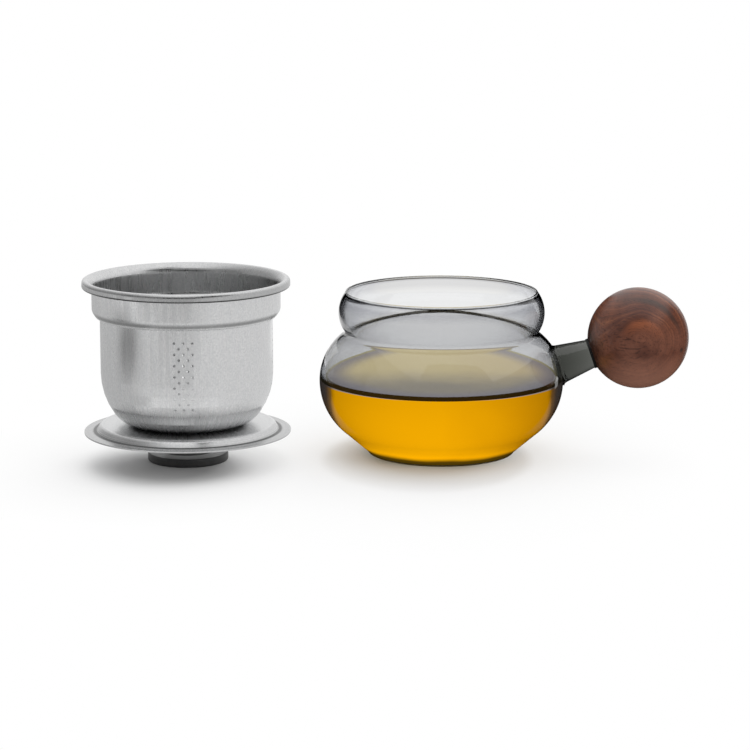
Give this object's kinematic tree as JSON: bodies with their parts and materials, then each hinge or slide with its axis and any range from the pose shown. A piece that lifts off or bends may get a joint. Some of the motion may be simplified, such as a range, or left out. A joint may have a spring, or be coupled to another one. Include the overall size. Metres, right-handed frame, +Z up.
{
  "type": "lidded tea mug with infuser",
  "caption": "Pinched glass tea mug with a wooden ball handle, beside its upturned steel lid carrying a perforated drop-in infuser.",
  "frame": {"origin": "centre of the mug's flat foot, on the table", "axes": "+Z up; +X from the mug along its ball handle; the lid and infuser stand on the -X side"},
  "size_m": [0.2384, 0.1039, 0.0724],
  "materials": {
    "smoke_glass": "fire-polished, smoke-grey borosilicate",
    "walnut": "turned, satin oil",
    "silicone": "moulded, matt",
    "stainless": "drawn sheet, satin",
    "screw_steel": "turned",
    "black_resin": "moulded, fine satin",
    "brass": "turned"
  },
  "bodies": {
    "mug": {"glass_cup": "smoke_glass", "glass_stub": "smoke_glass", "silicone_sleeve": "silicone", "ball_handle": "walnut"},
    "lid": {"lid_pan": "stainless", "lid_screw": "screw_steel", "knob": "black_resin", "knob_insert": "brass"},
    "infuser": {"infuser_basket": "stainless"}
  },
  "joints": [
    {"name": "lid_lift", "type": "slide", "parent": "mug", "child": "lid", "axis": [0, 0, 1], "range_m": [0, 0.12]},
    {"name": "infuser_lift", "type": "slide", "parent": "lid", "child": "infuser", "axis": [0, 0, 1], "range_m": [0, 0.12]}
  ]
}
